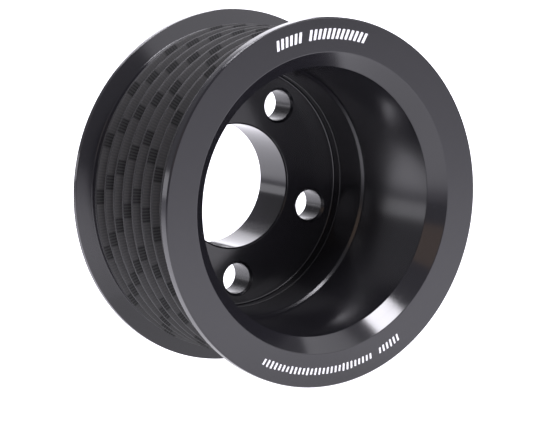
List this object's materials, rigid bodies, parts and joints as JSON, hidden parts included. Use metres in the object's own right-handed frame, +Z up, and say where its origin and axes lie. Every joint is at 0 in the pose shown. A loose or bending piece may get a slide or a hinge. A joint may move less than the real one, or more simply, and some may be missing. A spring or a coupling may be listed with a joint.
{
  "type": "ribbed belt pulley",
  "caption": "Flanged ribbed-belt drive pulley turned from one black anodised billet, with a deep dished front, a bolted web and a through bore.",
  "frame": {"origin": "on the pulley's axis, halfway between the front face and the back of the spigot ring round the bore", "axes": "+Y along the axis from the open dished face to the hub side, +Z up, +X to the right seen from the dished face"},
  "size_m": [0.0726, 0.0436, 0.0726],
  "materials": {
    "black_anodised_aluminium": "satin black anodise over fine turning marks",
    "white_filling": "matt white filling"
  },
  "bodies": {
    "root": {"pulley_body": "black_anodised_aluminium", "upper_mark": "white_filling", "lower_mark": "white_filling"}
  },
  "joints": []
}
